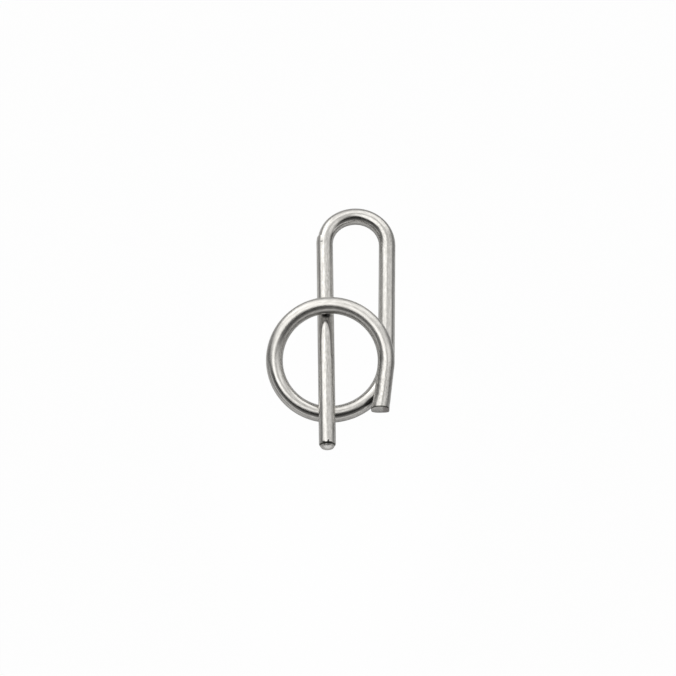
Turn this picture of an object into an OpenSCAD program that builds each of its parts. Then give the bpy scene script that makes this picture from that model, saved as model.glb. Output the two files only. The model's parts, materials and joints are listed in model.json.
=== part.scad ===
// Brake pad retaining clip, bent from one length of round spring wire.
//
// Followed from its tip, the wire runs up the pin leg, over the U-bend, down the return leg and once round the
// ring, and it ends in a short stub. The pin leg goes through the ring: behind its top and before its bottom.
// The clip lies on its back. The return leg and the bends at its two ends touch the surface at z = 0, +Y points to
// the U-bend and +Z to the side that is seen. Each bend leads to a frame with +Z along the wire and +X into the
// next bend, and the twists at the crossings are worked out from the wire and the gap.

/* [Wire] */
// Diameter of the wire
wire_d = 2; // [1.6:0.1:2.4]
// Free gap where the wire passes over itself
pass_gap = 0.15; // [0.1:0.05:0.3]
// Step all round that the bending tool leaves where a bend ends in a free leg
tool_step = 0.005; // [0.003:0.001:0.01]

/* [Legs] */
// Straight length of the return leg, from the ring to the U-bend
return_leg_l = 15; // [13:0.5:20]
// Straight length of the pin leg, from the U-bend to its tip
pin_leg_l = 27.1; // [25:0.1:34]
// Radius of the U-bend along the middle of the wire
u_bend_r = 3.8; // [3.6:0.1:4.2]
// Angle by which the pin leg closes in on the return leg
toe_in = 1.5; // [0.5:0.5:4]

/* [Ring] */
// Radius of the ring's half beside the return leg, along the middle of the wire
near_ring_r = 6.85; // [6.4:0.05:7.6]
// Radius of the ring's far half, along the middle of the wire
far_ring_r = 6.5; // [6.2:0.05:7.2]
// Angle by which the ring climbs over its top
ring_climb = 6; // [2:0.5:7]
// Angle that the ring turns past a full circle
over_turn = 5.5; // [2:0.5:10]

/* [Stub] */
// Length of the stub, from the ring to the cut
stub_l = 5.2; // [4:0.1:6]
// Length of the stretch that the cut has spread
spread_l = 1.6; // [1:0.1:2.5]
// How far the cut has spread the stub's end, all round
spread_w = 0.08; // [0.02:0.01:0.12]
// Angle by which the cut face looks outwards from the ring
cut_skew = 7; // [0:1:12]
// Angle by which the cut face looks up, away from the ring's start
cut_lean = 8; // [0:1:12]

/* [Pin tip] */
// Length of the tip's chamfer along the leg
tip_chamfer_l = 0.45; // [0.3:0.05:0.8]
// Width of the tip's chamfer across the leg
tip_chamfer_w = 0.24; // [0.15:0.03:0.36]
// Height of the dome that closes the tip
tip_dome_h = 0.2; // [0.14:0.02:0.26]

/* [Hidden] */
$fn = 64;

wire_r = wire_d / 2;
leg_r = wire_r - tool_step;
quarter = 90;
// The free legs start this far inside their bends
let_in = 0.1;

// Distance between the middles of two stretches that pass each other
pass = wire_d + pass_gap;

// The U-bend is twisted at its top, so that the pin leg clears the front of the ring's lowest point
u_top_y = return_leg_l + u_bend_r;
u_twist = asin(pass / (u_top_y + near_ring_r));

// Where the pin leg crosses the ring's top, and the angle of that point on the ring's third quarter
ring_top_y = 2 * far_ring_r - near_ring_r;
pin_bend = quarter + toe_in;
pin_run_to_top = ((u_top_y - ring_top_y) / cos(u_twist) - u_bend_r * (1 + sin(toe_in))) / cos(toe_in);
pin_x_at_top = pin_run_to_top * sin(toe_in) - u_bend_r * (1 + cos(toe_in));
cross_angle = acos(1 - (pin_x_at_top + near_ring_r + far_ring_r) / far_ring_r);

// Between its lowest point and that crossing the ring climbs from behind the pin leg to before it. The climb over
// the pin leg's plane is straight_climb * sin(lean) + side_climb * cos(lean)
straight_climb = far_ring_r * (1 + sin(cross_angle));
side_climb = far_ring_r * (1 - cos(cross_angle)) * sin(ring_climb);
climb = norm([straight_climb, side_climb]);
lean = asin(2 * pass / climb) - atan2(side_climb, straight_climb);
first_twist = lean - u_twist;

// The last twist brings the stub's end back to one pass before the ring's first quarter. Its fall along Z for each
// unit of length is side_share * sin(twist) - sin(first_twist) * cos(twist)
last_bend = quarter + over_turn;
side_share = cos(ring_climb) * cos(first_twist);
climb_slope = sin(ring_climb) * cos(first_twist);
peak_z = 2 * far_ring_r * sin(first_twist) + (far_ring_r + near_ring_r) * climb_slope;
fall_l = near_ring_r * (1 + sin(over_turn)) + stub_l * cos(over_turn);
back_l = near_ring_r * (1 - cos(over_turn)) + stub_l * sin(over_turn);
fall_slope = (pass - peak_z + back_l * climb_slope) / fall_l;
last_twist = asin(fall_slope / norm([side_share, sin(first_twist)])) + atan2(sin(first_twist), side_share);

// Sphere of the dome that closes the pin leg's tip
tip_r = leg_r - tip_chamfer_w;
dome_r = (tip_r ^ 2 + tip_dome_h ^ 2) / (2 * tip_dome_h);
tip_l = tip_chamfer_l + tip_dome_h;

// The origin is under the middle of the clip's outline
dome_run = u_bend_r * (1 + sin(toe_in)) + (pin_leg_l - dome_r) * cos(toe_in);
low_y = u_top_y - dome_run * cos(u_twist) - dome_r;
high_y = u_top_y + wire_r;
middle = [-(near_ring_r + far_ring_r) / 2, (low_y + high_y) / 2, -wire_r];

// A straight stretch of the wire
module straight(length, radius = wire_r) {
    cylinder(r = radius, h = length);
}

// A bend of the wire towards +X, and what follows at its end
module bend(radius, angle) {
    translate([radius, 0, 0])
        rotate([90, 0, 0])
            mirror([1, 0, 0])
                rotate_extrude(angle = angle)
                    translate([radius, 0])
                        circle(d = wire_d);
    translate([radius, 0, 0])
        rotate([0, angle, 0])
            translate([-radius, 0, 0])
                children();
}

// The next bend's direction, turned about the wire
module twist(angle) {
    rotate([0, 0, angle])
        children();
}

// The pin leg, with a chamfered and domed tip
module pin_leg() {
    shaft_l = pin_leg_l - tip_l;
    translate([0, 0, -let_in])
        straight(shaft_l + let_in, leg_r);
    translate([0, 0, shaft_l])
        intersection() {
            chamfer_slope = tip_chamfer_w / tip_chamfer_l;
            cylinder(r1 = leg_r, r2 = leg_r - tip_l * chamfer_slope, h = tip_l);
            translate([0, 0, tip_l - dome_r])
                sphere(r = dome_r);
        }
}

// The stub, spread at its end and cut off slantwise
module stub() {
    plain_l = stub_l - spread_l;
    uncut_l = spread_l + wire_r;
    translate([0, 0, -let_in])
        straight(plain_l + let_in, leg_r);
    difference() {
        translate([0, 0, plain_l])
            cylinder(r1 = leg_r, r2 = leg_r + spread_w * uncut_l / spread_l, h = uncut_l);
        translate([0, 0, stub_l])
            rotate([cut_lean, -cut_skew, 0])
                translate([-wire_d, -wire_d, 0])
                    cube([2 * wire_d, 2 * wire_d, wire_d]);
    }
}

// From the ring up: the return leg, the U-bend and the pin leg
module hairpin() {
    straight(return_leg_l);
    translate([0, 0, return_leg_l])
        bend(u_bend_r, quarter)
            twist(u_twist)
                bend(u_bend_r, pin_bend)
                    pin_leg();
}

// From the return leg down: the ring's four bends and the stub
module ring() {
    bend(near_ring_r, quarter)
        twist(-first_twist)
            bend(far_ring_r, quarter)
                twist(-ring_climb)
                    bend(far_ring_r, quarter)
                        twist(-last_twist)
                            bend(near_ring_r, last_bend)
                                stub();
}

module clip() {
    color("silver")
        translate(-middle) {
            rotate([-90, 0, 0])
                twist(180)
                    hairpin();
            rotate([90, 0, 0])
                twist(180)
                    ring();
        }
}

clip();
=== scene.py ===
"""Brake pad retaining clip: one bent and threaded spring wire on a white floor in soft studio light."""
import json

import bpy
import numpy as np
from mathutils import Matrix, Vector


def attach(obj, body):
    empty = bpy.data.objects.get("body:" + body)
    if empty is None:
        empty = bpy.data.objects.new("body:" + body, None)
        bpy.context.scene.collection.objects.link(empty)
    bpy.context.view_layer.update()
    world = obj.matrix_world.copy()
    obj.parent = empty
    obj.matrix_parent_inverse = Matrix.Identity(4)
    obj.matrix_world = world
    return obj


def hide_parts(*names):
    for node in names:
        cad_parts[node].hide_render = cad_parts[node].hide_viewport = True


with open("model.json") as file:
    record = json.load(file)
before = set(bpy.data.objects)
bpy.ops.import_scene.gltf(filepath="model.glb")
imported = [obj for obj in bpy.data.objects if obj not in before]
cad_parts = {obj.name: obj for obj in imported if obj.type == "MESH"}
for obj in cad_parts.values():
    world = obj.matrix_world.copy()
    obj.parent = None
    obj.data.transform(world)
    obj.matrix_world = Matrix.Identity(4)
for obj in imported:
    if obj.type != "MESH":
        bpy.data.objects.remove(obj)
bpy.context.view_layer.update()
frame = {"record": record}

# Metres in a millimetre, a quarter turn, and a number that keeps a divisor above zero
MM = 0.001
QUARTER = np.pi / 2
TINY = 1e-9

# Sizes of the clip, as in the part's source: lengths in millimetres, and angles given in degrees
WIRE_R = 1.0
PASS_GAP = 0.15
TOOL_STEP = 0.005
RETURN_LEG_L = 15.0
PIN_LEG_L = 27.1
U_BEND_R = 3.8
TOE_IN = np.radians(1.5)
NEAR_RING_R = 6.85
FAR_RING_R = 6.5
RING_CLIMB = np.radians(6.0)
OVER_TURN = np.radians(5.5)
STUB_L = 5.2
SPREAD_L = 1.6
SPREAD_W = 0.08
CUT_SKEW = np.radians(7.0)
CUT_LEAN = np.radians(8.0)
TIP_CHAMFER_L = 0.45
TIP_CHAMFER_W = 0.24
TIP_DOME_H = 0.2

# Sizes that follow from them
LEG_R = WIRE_R - TOOL_STEP
SPREAD_R = LEG_R + SPREAD_W
TIP_R = LEG_R - TIP_CHAMFER_W
PASS = 2 * WIRE_R + PASS_GAP
U_BEND_END = PIN_LEG_L + U_BEND_R * (2 * QUARTER + TOE_IN)

# Forms that the tools left and only the looks have: the spread's shift, the power of the cut's squared side,
# the rounding of edges, and the flat outside the U-bend with its step
SPREAD_SHIFT = 0.09
CUT_SQUARE = 5.0
EDGE_REACH = 0.1
KINK_AT = PIN_LEG_L + 0.7
KINK_STEP_L = 0.15
KINK_L = 2.4
KINK_DEPTH = 0.1

# Fineness of the wire: points round it, steps along it, points of the dome, and stations at the flat's step
ROUND = 96
BEND_STEP = 0.15
LEG_STEP = 0.4
END_STEP = 0.03
DOME_POINTS = 10
KINK_STATIONS = np.linspace(KINK_AT - 0.05, KINK_AT + 0.25, 13)

# Spots on the straight wire, centre and half axes: two dark marks, two spots of painted shade, and the painted
# glint on the tip's face
NICK = ((-0.45, 0.89, 27.05), (0.16, 0.4, 0.07))
TIP_MARK = ((0.0, 0.995, 0.66), (0.14, 0.5, 0.3))
# Painted shade on the pin leg under the ring's top
PAINTED_SHADE_UNDER_RING = ((-0.05, 0.995, 17.1), (0.75, 0.6, 0.6))
# Painted shade on the ring beside the stub
PAINTED_SHADE_BESIDE_STUB = ((-0.48, 0.87, 59.75), (0.42, 0.6, 1.4))
# Painted highlight: the glint on the tip's face
PAINTED_GLINT = ((0.0, 0.55, 0.2), (0.6, 0.6, 1.0))

# Up and to the right on the stub's cut, in the wire's own section
CUT_UP = (-0.44, 0.89, 0.0)
CUT_RIGHT = (-0.89, -0.46, 0.0)

# Stretches with a look of their own, from the U-bend's end and from the stub's start: where each one starts,
# is full, begins to fade and ends
WORN_BEND = np.array([-4.5, -2.5, 0.5, 2.0])
DULL_RING = np.array([-25.0, -20.0, -6.0, -1.0])

# Lengths over which a look sets in: on the stub from its start, on the tip from its pole, and on the cut from
# the wire's end, with the height over which the cut's upper edge sets in
WORN_STUB = np.array([-2.0, 0.0])
TIP_FACE = (0.41, 0.34)
# Dark band on the tip's chamfer
TIP_DARK_BAND = (0.64, 0.52)
CUT_FACE = np.array([-0.06, -0.02])
CUT_EDGE = np.array([-0.22, -0.15])
CUT_UPPER = (0.0, 0.4)

# Noises of the steel: scale along each axis of the straight wire, and detail
LINES = ((13.0, 13.0, 0.45), 4.0)
MOTTLES = ((5.0, 5.0, 1.6), 3.0)
BLOTCHES = ((2.6, 2.6, 0.9), 2.0)
SCUFFS = ((7.0, 7.0, 3.5), 4.0)

# Values between which one colour turns into the next, and what is mixed into them
DRAWN_RANGE = (0.35, 0.65)
SCUFF_RANGE = (0.45, 0.65)
CUT_RANGE = (0.3, 0.8)
TORN_RANGE = (0.45, 0.65)
SCUFF_SHARE = 0.45
CUT_PALER_UPWARDS = 0.3
TORN_RAGGED = 0.4

# Colours of the steel
DRAWN_DARK = (0.54, 0.53, 0.51, 1.0)
DRAWN_BRIGHT = (0.74, 0.73, 0.71, 1.0)
SCUFF_TONE = (0.36, 0.35, 0.33, 1.0)
# Dark tone of the tip's chamfer band and of the cut's upper edge
DARK_END_TONE = (0.1, 0.1, 0.09, 1.0)
FACE_TONE = (0.6, 0.59, 0.57, 1.0)
# Painted highlight on the tip's face
PAINTED_GLINT_TONE = (1.0, 0.99, 0.97, 1.0)
CUT_PALE = (0.62, 0.61, 0.59, 1.0)
CUT_GREY = (0.36, 0.35, 0.34, 1.0)
TORN_TONE = (0.27, 0.25, 0.24, 1.0)
# Tone of the dark marks and of the painted shade
MARK_AND_SHADE_TONE = (0.08, 0.08, 0.08, 1.0)

# Heights of the steel's relief in millimetres, and what the worn stretches add
LINE_H = 0.0015
MOTTLE_H = 0.005
WORN_MOTTLE_H = 0.009
BLOTCH_H = 0.002
WORN_BLOTCH_H = 0.006
MARK_DEPTH = 0.02

# Roughness of the steel, and what each look adds to it
LEAST_ROUGH = 0.06
LINE_ROUGH = 0.1
MOTTLE_ROUGH = 0.12
END_ROUGH = 0.15
DULL_ROUGH = 0.13

# Floor in metres: half side, centre and half axes of its pale part, a painted pool of light round the clip, its
# tones, and its shares of white
FLOOR_HALF = 1.5
FLOOR_PAINTED_LIGHT = ((0.0, -0.012, 0.0), (0.018, 0.045, 1.0))
FLOOR_TONE = (0.21, 0.21, 0.21, 1.0)
FLOOR_PAINTED_LIGHT_TONE = (0.7, 0.7, 0.7, 1.0)
WHITE = (1.0, 1.0, 1.0, 1.0)
SEEN_WHITE = 0.985
MIRRORED_WHITE = 0.15

# Round lights of the studio: azimuth, elevation, inner and outer angle in degrees, and level
ROUND_LIGHTS = {
    "dome": (0.0, 35.0, 47.0, 83.0, 0.55),
    "fill": (33.0, 50.0, 24.0, 44.0, 0.2),
    "rear": (-2.0, 11.0, 42.0, 49.0, 0.65),
    "gap": (-5.0, 8.0, 6.0, 22.0, -0.45),
    "above": (-119.0, 70.0, 7.0, 20.0, 0.5),
}

# Panels: azimuth, elevation and roll in degrees, half width and half height at distance 1, and level
PANELS = {
    "left": (-53.0, 56.0, 18.0, 0.33, 0.79, 0.9),
    "right": (84.0, 40.0, 0.0, 0.3, 0.5, 0.4),
}
PANEL_SOFT = 0.15
LEAST_DEPTH = 0.02

# Glow in front: where it sets in from back to front, and the heights and levels of its low and its high part
GLOW_FRONT = (0.15, -0.1)
GLOW_LOW = (0.38, 0.05)
GLOW_LOW_LEVEL = 0.68
GLOW_HIGH = (0.72, 0.5)
GLOW_HIGH_LEVEL = 0.12

# Level all round the studio, its tint, and its directions
BASE_LEVEL = 0.03
STUDIO_TINT = (1.0, 0.99, 0.97, 1.0)
BACKWARDS = (0.0, 1.0, 0.0)
UPWARDS = (0.0, 0.0, 1.0)

# Camera of the photograph, in metres and degrees, aimed at a point on the floor. Its lens is in millimetres
CAMERA_AIM = (0.000878, -0.000603, 0.0)
CAMERA_DISTANCE = 0.304946
CAMERA_AZIMUTH = 182.044
CAMERA_ELEVATION = 68.826
CAMERA_ROLL = np.radians(3.012)
CAMERA_LENS = 135.0
CAMERA_SENSOR = 36.0
CAMERA_NEAREST = 0.01


class Value:
    """One output of a shader node. Arithmetic with it adds Math nodes to its tree."""

    def __init__(self, tree, socket):
        self.tree = tree
        self.socket = socket

    @classmethod
    def node(cls, tree, kind, settings=None, inputs=None, output=0):
        """Adds a node of a type, sets its settings, then sets or links its sockets, and gives one output."""
        made = tree.nodes.new(kind)
        for name, setting in (settings or {}).items():
            setattr(made, name, setting)
        for name, given in (inputs or {}).items():
            if isinstance(given, Value):
                tree.links.new(given.socket, made.inputs[name])
            else:
                made.inputs[name].default_value = given
        return cls(tree, made.outputs[output])

    def math(self, operation, other=0.0, swapped=False):
        """The operation on this value and another one, which comes first where the two are swapped."""
        first, second = (other, self) if swapped else (self, other)
        return Value.node(self.tree, "ShaderNodeMath", {"operation": operation}, {0: first, 1: second})

    def __add__(self, other):
        return self.math("ADD", other)

    __radd__ = __add__

    def __sub__(self, other):
        return self.math("SUBTRACT", other)

    def __rsub__(self, other):
        return self.math("SUBTRACT", other, swapped=True)

    def __mul__(self, other):
        return self.math("MULTIPLY", other)

    __rmul__ = __mul__

    def __truediv__(self, other):
        return self.math("DIVIDE", other)

    def __abs__(self):
        return self.math("ABSOLUTE")


def unit(v):
    """A vector divided by its own length."""
    return v / np.linalg.norm(v)


def eased(t):
    """Smooth step from 0 to 1: 3 t^2 - 2 t^3, with t held between 0 and 1."""
    t = np.clip(t, 0.0, 1.0)
    return t * t * (3 - 2 * t)


def crossing_twists():
    """Twists of the wire that keep each crossing one pass apart.

    The U-bend's twist lifts the pin leg by one pass at the ring's lowest point. From there to the ring's top
    the ring climbs two passes against the pin leg's plane, so sin(lean) times the straight climb plus
    cos(lean) times the side climb equals two passes. The last twist brings the stub's end back to one pass
    above the ring's start.
    """
    u_top_y = RETURN_LEG_L + U_BEND_R
    u_twist = np.arcsin(PASS / (u_top_y + NEAR_RING_R))
    ring_top_y = 2 * FAR_RING_R - NEAR_RING_R
    drop = (u_top_y - ring_top_y) / np.cos(u_twist)
    pin_run = (drop - U_BEND_R * (1 + np.sin(TOE_IN))) / np.cos(TOE_IN)
    pin_x = pin_run * np.sin(TOE_IN) - U_BEND_R * (1 + np.cos(TOE_IN))
    cross_angle = np.arccos(1 - (pin_x + NEAR_RING_R + FAR_RING_R) / FAR_RING_R)
    straight_climb = FAR_RING_R * (1 + np.sin(cross_angle))
    side_climb = FAR_RING_R * (1 - np.cos(cross_angle)) * np.sin(RING_CLIMB)
    climb = np.hypot(straight_climb, side_climb)
    lean = np.arcsin(2 * PASS / climb) - np.arctan2(side_climb, straight_climb)
    first = lean - u_twist
    side_share = np.cos(RING_CLIMB) * np.cos(first)
    climb_slope = np.sin(RING_CLIMB) * np.cos(first)
    peak_z = 2 * FAR_RING_R * np.sin(first) + (FAR_RING_R + NEAR_RING_R) * climb_slope
    fall_l = NEAR_RING_R * (1 + np.sin(OVER_TURN)) + STUB_L * np.cos(OVER_TURN)
    back_l = NEAR_RING_R * (1 - np.cos(OVER_TURN)) + STUB_L * np.sin(OVER_TURN)
    fall_slope = (PASS - peak_z + back_l * climb_slope) / fall_l
    share = np.hypot(side_share, np.sin(first))
    last = np.arcsin(fall_slope / share) + np.arctan2(np.sin(first), side_share)
    return u_twist, first, last


def carry(place, stretch, lengths):
    """Points and section frames along one straight or bent stretch, at the given lengths from its start.

    A place is (point, along, into the bend, across, turn of the section against the bend). A bend of radius R
    moves by R sin(a) along and R (1 - cos(a)) into the bend, and turns the first two directions by a about the
    third. The section keeps its own turn, so it is carried along without spinning about the wire.
    """
    point, along, inward, across, turn = place
    radius, twist = stretch
    inward, across = (np.cos(twist) * inward + np.sin(twist) * across,
                      np.cos(twist) * across - np.sin(twist) * inward)
    turn = turn + twist
    run = lengths[:, None]
    if radius is None:
        points = point + run * along
        alongs = np.repeat(along[None], len(lengths), 0)
        inwards = np.repeat(inward[None], len(lengths), 0)
    else:
        a = run / radius
        points = point + radius * np.sin(a) * along + radius * (1 - np.cos(a)) * inward
        alongs = np.cos(a) * along + np.sin(a) * inward
        inwards = np.cos(a) * inward - np.sin(a) * along
    first = np.cos(turn) * inwards - np.sin(turn) * across
    second = np.sin(turn) * inwards + np.cos(turn) * across
    return points, first, second, (points[-1], alongs[-1], inwards[-1], across, turn)


def follow(place, stretches):
    """Stations of several stretches, one after the other, and the place where the last one ends.

    A row holds the length from the start, the point and the two section directions, which are 10 numbers. Each
    stretch is cut into even steps, and a station that two stretches share is kept once.
    """
    rows = []
    start = 0.0
    for length, radius, twist, step in stretches:
        count = max(2, int(np.ceil(length / step)) + 1)
        lengths = np.linspace(0.0, length, count)
        points, first, second, place = carry(place, (radius, twist), lengths)
        stations = np.hstack([start + lengths[:, None], points, first, second])
        rows.append(stations[1:] if rows else stations)
        start += length
    return np.vstack(rows), place


def wire_stations():
    """The wire's middle line from the pin leg's tip to the stub's cut: length, point and section directions.

    Two lines start where the return leg meets the ring, one up to the tip and one down to the cut. The first is
    turned round and the second one's section is mirrored, so that both have the same section where they meet.
    """
    x, y, z = np.eye(3)
    u_twist, first, last = crossing_twists()
    up, _ = follow(
        (np.zeros(3), y, -x, z, 0.0),
        (
            (RETURN_LEG_L, None, 0.0, LEG_STEP),
            (U_BEND_R * QUARTER, U_BEND_R, 0.0, BEND_STEP),
            (U_BEND_R * (QUARTER + TOE_IN), U_BEND_R, u_twist, BEND_STEP),
            (PIN_LEG_L, None, 0.0, LEG_STEP),
        ),
    )
    down, cut_place = follow(
        (np.zeros(3), -y, -x, -z, 0.0),
        (
            (NEAR_RING_R * QUARTER, NEAR_RING_R, 0.0, BEND_STEP),
            (FAR_RING_R * QUARTER, FAR_RING_R, -first, BEND_STEP),
            (FAR_RING_R * QUARTER, FAR_RING_R, -RING_CLIMB, BEND_STEP),
            (NEAR_RING_R * (QUARTER + OVER_TURN), NEAR_RING_R, -last, BEND_STEP),
            (STUB_L, None, 0.0, LEG_STEP),
        ),
    )
    up = up[::-1]
    up[:, 0] = up[0, 0] - up[:, 0]
    down[:, 0] += up[-1, 0]
    second_direction = slice(7, 10)
    down[:, second_direction] *= -1
    return np.vstack([up, down[1:]]), cut_place


def rounded_end(corners):
    """Profile of a wire end, from its middle outwards, with its corners rounded off.

    The corners give the distance from the end and the radius. The profile is mirrored about the wire's middle
    and laid out at even steps, and each point becomes the mean of the points within reach, which turns a
    corner into an arc.
    """
    mirrored = np.vstack([corners[:0:-1] * (1, -1), corners])
    run = np.r_[0.0, np.cumsum(np.linalg.norm(np.diff(mirrored, axis=0), axis=1))]
    even = np.linspace(0.0, run[-1], 2 * int(run[-1] / 2 / END_STEP) + 1)
    reach = int(EDGE_REACH / END_STEP)
    window = np.full(2 * reach + 1, 1 / (2 * reach + 1))
    distance, radius = (np.convolve(np.interp(even, run, column), window, "valid") for column in mirrored.T)
    middle = len(distance) // 2
    return np.stack([distance[middle:], radius[middle:]], 1)


def end_profiles(total):
    """Length and radius along the wire at its two ends: the chamfered and domed tip, and the spread cut.

    The dome is the circle through the tip's rim and its pole, so its radius is (r^2 + h^2) / (2 h).
    """
    run_out = 3 * EDGE_REACH
    dome_r = (TIP_R ** 2 + TIP_DOME_H ** 2) / (2 * TIP_DOME_H)
    a = np.linspace(0.0, np.arcsin(TIP_R / dome_r), DOME_POINTS)
    dome = np.stack([dome_r * (1 - np.cos(a)), dome_r * np.sin(a)], 1)
    shoulder = TIP_DOME_H + TIP_CHAMFER_L
    tip = rounded_end(np.vstack([dome, (shoulder, LEG_R), (shoulder + run_out, LEG_R)]))
    spread = np.array([(0.0, 0.0), (0.0, SPREAD_R), (SPREAD_L, LEG_R), (SPREAD_L + run_out, LEG_R)])
    cut = rounded_end(spread)
    return tip, np.array([total, 0.0]) + cut[::-1] * (-1, 1)


def slant_cut(grid, middle, length, total, cut_place):
    """Slants the stub's cut, squares its lower side and moves its spread end to the ring's inner side.

    Along the spread stretch a share s grows smoothly from 0 to 1. With x into the bend and y across it,
    downwards, a point below the middle moves out from the circle x^2 + y^2 towards the rounded square
    |x|^p + |y|^p by s. Then it moves along the wire by s (x tan(skew) + y tan(lean) / cos(skew)), so that the
    end lies in the slanted plane of the cut, and into the bend by s times the shift.
    """
    _, along, inward, across, _ = cut_place
    share = eased((length - total + SPREAD_L) / (SPREAD_L - EDGE_REACH))[:, None]
    offset = grid - middle[:, None]
    x = offset @ inward
    y = offset @ across
    square = (np.abs(x) ** CUT_SQUARE + np.abs(y) ** CUT_SQUARE + TINY) ** (1 / CUT_SQUARE)
    outwards = np.where(y > 0, share * (np.hypot(x, y) / square - 1), 0.0)
    slide = share * (x * np.tan(CUT_SKEW) + y * np.tan(CUT_LEAN) / np.cos(CUT_SKEW))
    squared = grid + outwards[..., None] * offset
    slanted = squared + slide[..., None] * along
    return slanted + (share * SPREAD_SHIFT)[..., None] * inward


def kinked(radius, length, around):
    """Radius of each point, with the flat that the bending tool left outside the U-bend near the pin leg.

    The flat has its full depth beside the pin leg, where it ends in a step, and runs out into the bend. Its
    depth falls with the square of the cosine of the angle from the bend's outer side.
    """
    past = length - KINK_AT
    flat = KINK_DEPTH * eased(past / KINK_STEP_L) * eased(1 - past / KINK_L)
    return radius[:, None] - flat[:, None] * np.maximum(-np.cos(around), 0.0) ** 2


def wire_mesh():
    """The wire as one closed surface: its points, their places on the straight wire, and its faces.

    A circle is carried along the middle line: middle + r cos(a) first + r sin(a) second, where r is the radius
    of the profile at that length. A fan of triangles closes each end at a pole.
    """
    stations, cut_place = wire_stations()
    total = stations[-1, 0]
    tip, cut = end_profiles(total)
    inner = np.union1d(stations[:, 0], KINK_STATIONS)
    inner = inner[(inner > tip[-1, 0] + END_STEP) & (inner < cut[0, 0] - END_STEP)]
    bent = (inner > PIN_LEG_L) & (inner < total - STUB_L)
    body = np.stack([inner, np.where(bent, WIRE_R, LEG_R)], 1)
    length, radius = np.vstack([tip, body, cut]).T
    columns = np.stack([np.interp(length, stations[:, 0], column) for column in stations[:, 1:].T], 1)
    middle, first, second = np.split(columns, 3, axis=1)
    around = np.arange(ROUND) * (2 * np.pi / ROUND)
    radii = kinked(radius, length, around)
    x = radii * np.cos(around)
    y = radii * np.sin(around)
    grid = middle[:, None] + x[..., None] * first[:, None] + y[..., None] * second[:, None]
    grid = slant_cut(grid, middle, length, total, cut_place)
    rod = np.stack([x, y, np.broadcast_to(length[:, None], x.shape)], 2)
    points, rods = (np.vstack([g[0, :1], g[1:-1].reshape(-1, 3), g[-1, :1]]) for g in (grid, rod))
    rows = len(length) - 2
    index = 1 + np.arange(rows * ROUND).reshape(rows, ROUND)
    beside = np.roll(index, -1, 1)
    quads = np.stack([index[:-1], beside[:-1], beside[1:], index[1:]], 2).reshape(-1, 4)
    tip_fan = np.stack([np.zeros(ROUND, int), beside[0], index[0]], 1)
    cut_fan = np.stack([index[-1], beside[-1], np.full(ROUND, len(points) - 1)], 1)
    return points, rods, [*tip_fan.tolist(), *quads.tolist(), *cut_fan.tolist()]


def add_wire(name):
    """Puts the wire's surface into a mesh, placed so that its tip is where the record's pin leg mount says.

    The point attribute "rod" holds where each point was on the straight wire, in millimetres.
    """
    points, rods, faces = wire_mesh()
    mount = next(m for m in frame["record"]["mounts"] if m["name"] == "pin_leg")
    points = (points - points[0]) * MM + np.array(mount["pos_m"])
    mesh = bpy.data.meshes.new(name)
    mesh.from_pydata(points.tolist(), [], faces)
    mesh.polygons.foreach_set("use_smooth", np.ones(len(faces), bool))
    grain = mesh.attributes.new("rod", "FLOAT_VECTOR", "POINT")
    grain.data.foreach_set("vector", rods.astype(np.float32).ravel())
    mesh.validate()
    mesh.update()
    mesh.materials.append(drawn_steel(rods[:, 2].max()))
    piece = bpy.data.objects.new(name, mesh)
    bpy.context.scene.collection.objects.link(piece)
    return piece


def between(value, low, high):
    """Smooth step, 3 t^2 - 2 t^3, from 0 at the low value to 1 at the high one, also where low is greater."""
    return Value.node(
        value.tree,
        "ShaderNodeMapRange",
        {"interpolation_type": "SMOOTHSTEP"},
        {"Value": value, "From Min": low, "From Max": high},
    )


def vector(operation, first, second, output=0):
    """The operation on two vectors, of which the first is a socket."""
    inputs = {0: first, 1: second}
    return Value.node(first.tree, "ShaderNodeVectorMath", {"operation": operation}, inputs, output)


def dot(place, axis):
    """Sum of the products of the coordinates, which is the cosine of the angle between two unit vectors."""
    return vector("DOT_PRODUCT", place, axis, "Value")


def blend(factor, first, second):
    """Colour between two colours or sockets: (1 - factor) times the first plus factor times the second."""
    inputs = {"Factor": factor, "A": first, "B": second}
    return Value.node(factor.tree, "ShaderNodeMix", {"data_type": "RGBA"}, inputs, "Result")


def noise(place, scale, detail):
    """Noise at a place whose axes are each multiplied by a scale of their own."""
    inputs = {"Vector": vector("MULTIPLY", place, scale), "Scale": 1.0, "Detail": detail}
    return Value.node(place.tree, "ShaderNodeTexNoise", {}, inputs)


def spot(place, centre, size):
    """Soft spot: 1 in the inner half of an ellipsoid with these half axes, 0 outside it, smooth between."""
    scaled = vector("DIVIDE", vector("SUBTRACT", place, centre), size)
    return between(vector("LENGTH", scaled, (0.0, 0.0, 0.0), "Value"), 1.0, 0.5)


def stretch_of(length, start, full, fade, end):
    """Part of the wire: 0 before its start and past its end, 1 from full to fade, smooth between."""
    return between(length, start, full) * between(length, end, fade)


def ray(tree, kind):
    """1 for rays of this kind and 0 for all others."""
    return Value.node(tree, "ShaderNodeLightPath", output=f"Is {kind} Ray")


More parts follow.
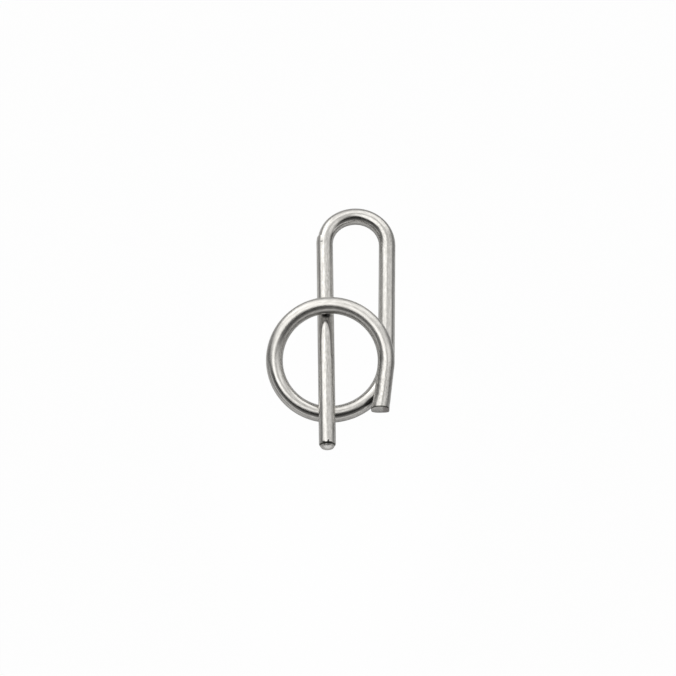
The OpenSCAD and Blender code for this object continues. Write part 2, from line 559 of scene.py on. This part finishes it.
def drawn_steel(total):
    """Bright drawn spring steel for a wire of this length, by its places on the straight wire.

    Lines, mottles and blotches are noises drawn out along the wire. The mean of lines and mottles leads from
    a dark to a bright tone, and relief and roughness are sums of the noises with a weight each. The stub and
    the U-bend beside the return leg are worn: their relief is deeper, and scuffs darken them. The ring's top
    is duller than the rest. The tip's chamfer is dark round a pale face with a painted glint, a highlight put
    into the colour. The stub's cut is grey, paler upwards, with a dark upper edge and a torn right side. The
    dark spots are sunk in: two are marks on the pin leg, one is painted shade on the pin leg under the ring's
    top, and one is painted shade on the ring beside the stub.
    """
    material = bpy.data.materials.new("drawn_spring_steel")
    material.use_nodes = True
    tree = material.node_tree
    shader = tree.nodes["Principled BSDF"]
    rod = Value.node(tree, "ShaderNodeAttribute", {"attribute_name": "rod"}, output="Vector")
    length = Value.node(tree, "ShaderNodeSeparateXYZ", {}, {0: rod}, "Z")
    up_at_cut = dot(rod, CUT_UP)
    right_at_cut = dot(rod, CUT_RIGHT)
    lines = noise(rod, *LINES)
    mottles = noise(rod, *MOTTLES)
    blotches = noise(rod, *BLOTCHES)
    stub_start = total - STUB_L
    worn = stretch_of(length, *(U_BEND_END + WORN_BEND)) + between(length, *(stub_start + WORN_STUB))
    dull = stretch_of(length, *(stub_start + DULL_RING))
    # Dark marks, and two spots of painted shade
    marks_and_painted_shade = spot(rod, *NICK) + spot(rod, *TIP_MARK) + spot(rod, *PAINTED_SHADE_UNDER_RING) + spot(rod, *PAINTED_SHADE_BESIDE_STUB)
    face = between(length, *TIP_FACE)
    dark_band = between(length, *TIP_DARK_BAND) - face
    cut = between(length, *(total + CUT_FACE))
    cut_edge = between(length, *(total + CUT_EDGE)) * between(up_at_cut, *CUT_UPPER) * (1 - cut)

    drawn = blend(between(lines * 0.5 + mottles * 0.5, *DRAWN_RANGE), DRAWN_DARK, DRAWN_BRIGHT)
    # Painted highlight on the tip's face, over its pale tone
    face_with_painted_glint = blend(spot(rod, *PAINTED_GLINT), FACE_TONE, PAINTED_GLINT_TONE)
    grey = blend(between(mottles - up_at_cut * CUT_PALER_UPWARDS, *CUT_RANGE), CUT_PALE, CUT_GREY)
    torn = blend(between(right_at_cut + mottles * TORN_RAGGED, *TORN_RANGE), grey, TORN_TONE)
    scuffs = worn * between(noise(rod, *SCUFFS), *SCUFF_RANGE) * SCUFF_SHARE
    scuffed = blend(scuffs, drawn, SCUFF_TONE)
    dark = blend(dark_band + cut_edge, scuffed, DARK_END_TONE)
    tone = blend(cut, blend(face, dark, face_with_painted_glint), torn)
    colour = blend(marks_and_painted_shade, tone, MARK_AND_SHADE_TONE)

    relief = lines * LINE_H + mottles * (MOTTLE_H + worn * WORN_MOTTLE_H)
    height = relief + blotches * (BLOTCH_H + worn * WORN_BLOTCH_H) - marks_and_painted_shade * MARK_DEPTH
    bump_inputs = {"Strength": 1.0, "Distance": MM, "Height": height}
    bump = Value.node(tree, "ShaderNodeBump", {}, bump_inputs, "Normal")
    grain = lines * LINE_ROUGH + mottles * MOTTLE_ROUGH
    roughness = grain + (face + dark_band + cut) * END_ROUGH + dull * DULL_ROUGH + LEAST_ROUGH
    tree.links.new(colour.socket, shader.inputs["Base Color"])
    tree.links.new(roughness.socket, shader.inputs["Roughness"])
    tree.links.new(bump.socket, shader.inputs["Normal"])
    shader.inputs["Metallic"].default_value = 1.0
    return material


def white_floor():
    """Matt floor with a painted pool of light: pale in an ellipse round the clip and before it, and grey
    farther out.

    A share of it is replaced by plain white. The share is nearly 1 where the camera sees the floor, so that
    only a faint shadow stays, and small where the wire mirrors it, which leaves the wire's edges grey.
    """
    material = bpy.data.materials.new("white_floor")
    material.use_nodes = True
    tree = material.node_tree
    matt = tree.nodes["Principled BSDF"]
    place = Value.node(tree, "ShaderNodeTexCoord", output="Object")
    # Painted pool of light round the clip and before it
    colour = blend(spot(place, *FLOOR_PAINTED_LIGHT), FLOOR_TONE, FLOOR_PAINTED_LIGHT_TONE)
    tree.links.new(colour.socket, matt.inputs["Base Color"])
    matt.inputs["Roughness"].default_value = 1.0
    matt.inputs["Specular IOR Level"].default_value = 0.0
    mirrored = ray(tree, "Glossy") + ray(tree, "Transmission")
    share = ray(tree, "Camera") * SEEN_WHITE + mirrored * MIRRORED_WHITE
    white = Value.node(tree, "ShaderNodeEmission", {}, {"Color": WHITE, "Strength": 1.0})
    mixed = Value.node(tree, "ShaderNodeMixShader", {}, {0: share, 1: Value(tree, matt.outputs[0]), 2: white})
    tree.links.new(mixed.socket, tree.nodes["Material Output"].inputs["Surface"])
    return material


def add_floor():
    """A square floor at z = 0, wide enough for every view."""
    corners = [(x * FLOOR_HALF, y * FLOOR_HALF, 0.0) for x, y in ((-1, -1), (1, -1), (1, 1), (-1, 1))]
    mesh = bpy.data.meshes.new("floor")
    mesh.from_pydata(corners, [], [(0, 1, 2, 3)])
    mesh.materials.append(white_floor())
    floor = bpy.data.objects.new("floor", mesh)
    bpy.context.scene.collection.objects.link(floor)


def toward(azimuth, elevation):
    """Unit vector to a place in the studio: (sin(a) cos(e), cos(a) cos(e), sin(e)).

    The azimuth a is in degrees from the back to the right, and the elevation e in degrees above the floor.
    """
    a, e = np.radians([azimuth, elevation])
    return np.array([np.sin(a) * np.cos(e), np.cos(a) * np.cos(e), np.sin(e)])


def patch(direction, centre, inner, outer):
    """Soft round light: 1 within the inner angle of a direction, 0 past the outer one, smooth between."""
    return between(dot(direction, centre), np.cos(np.radians(outer)), np.cos(np.radians(inner)))


def panel(direction, centre, roll, half_width, half_height):
    """Soft rectangular light: the product of a smooth step across its width and one across its height.

    A direction is laid on the plane at distance 1 that faces the centre: its shares along side and rise, each
    divided by its share along the centre. Side and rise are turned by the roll about the centre.
    """
    level = unit(np.cross(centre, UPWARDS))
    upright = np.cross(level, centre)
    turn = np.radians(roll)
    side = np.cos(turn) * level + np.sin(turn) * upright
    rise = np.cos(turn) * upright - np.sin(turn) * level
    depth = dot(direction, centre).math("MAXIMUM", LEAST_DEPTH)
    width = abs(dot(direction, side) / depth)
    height = abs(dot(direction, rise) / depth)
    across = between(width, half_width + PANEL_SOFT, half_width - PANEL_SOFT)
    return across * between(height, half_height + PANEL_SOFT, half_height - PANEL_SOFT)


def add_studio():
    """Studio light from all round: the sum of a base level and of each light times its level.

    A wide dome leans to the back, and a glow lies in front, strong near the floor and weak higher up. A tall
    panel stands at the left and a weaker one at the right. A fill light and a low rear light come from the
    back, where a small gap is dimmed, and one light hangs high at the front left. The camera sees plain white.
    """
    world = bpy.data.worlds.new("studio")
    bpy.context.scene.world = world
    world.use_nodes = True
    tree = world.node_tree
    background = tree.nodes["Background"]
    direction = Value.node(tree, "ShaderNodeTexCoord", output="Generated")
    height = dot(direction, UPWARDS)
    front = between(dot(direction, BACKWARDS), *GLOW_FRONT)
    glow = GLOW_LOW_LEVEL * between(height, *GLOW_LOW) + GLOW_HIGH_LEVEL * between(height, *GLOW_HIGH)
    light = BASE_LEVEL + front * glow
    for azimuth, elevation, inner, outer, level in ROUND_LIGHTS.values():
        light = light + level * patch(direction, toward(azimuth, elevation), inner, outer)
    for azimuth, elevation, roll, half_width, half_height, level in PANELS.values():
        light = light + level * panel(direction, toward(azimuth, elevation), roll, half_width, half_height)
    seen = ray(tree, "Camera")
    tree.links.new((light * (1 - seen) + seen).socket, background.inputs["Strength"])
    background.inputs["Color"].default_value = STUDIO_TINT


def add_camera():
    """The camera at the photograph's place: the aimed point plus the distance times the back direction.

    The columns of its turn are its right, up and back directions. Right is level, then rolled about back:
    cos(roll) level + sin(roll) (back x level).
    """
    back = toward(CAMERA_AZIMUTH, CAMERA_ELEVATION)
    level = unit(np.cross(UPWARDS, back))
    right = np.cos(CAMERA_ROLL) * level + np.sin(CAMERA_ROLL) * np.cross(back, level)
    turn = np.stack([right, np.cross(back, right), back], 1)
    place = Vector(CAMERA_AIM) + Vector(back) * CAMERA_DISTANCE
    data = bpy.data.cameras.new("camera")
    data.lens = CAMERA_LENS
    data.sensor_width = CAMERA_SENSOR
    data.clip_start = CAMERA_NEAREST
    camera = bpy.data.objects.new("camera", data)
    camera.matrix_world = Matrix.Translation(place) @ Matrix(turn).to_4x4()
    bpy.context.scene.collection.objects.link(camera)
    bpy.context.scene.camera = camera


piece = add_wire("clip_wire")
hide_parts("clip")
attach(piece, "root")
add_floor()
add_studio()
add_camera()

bpy.context.scene.view_settings.view_transform = "Standard"
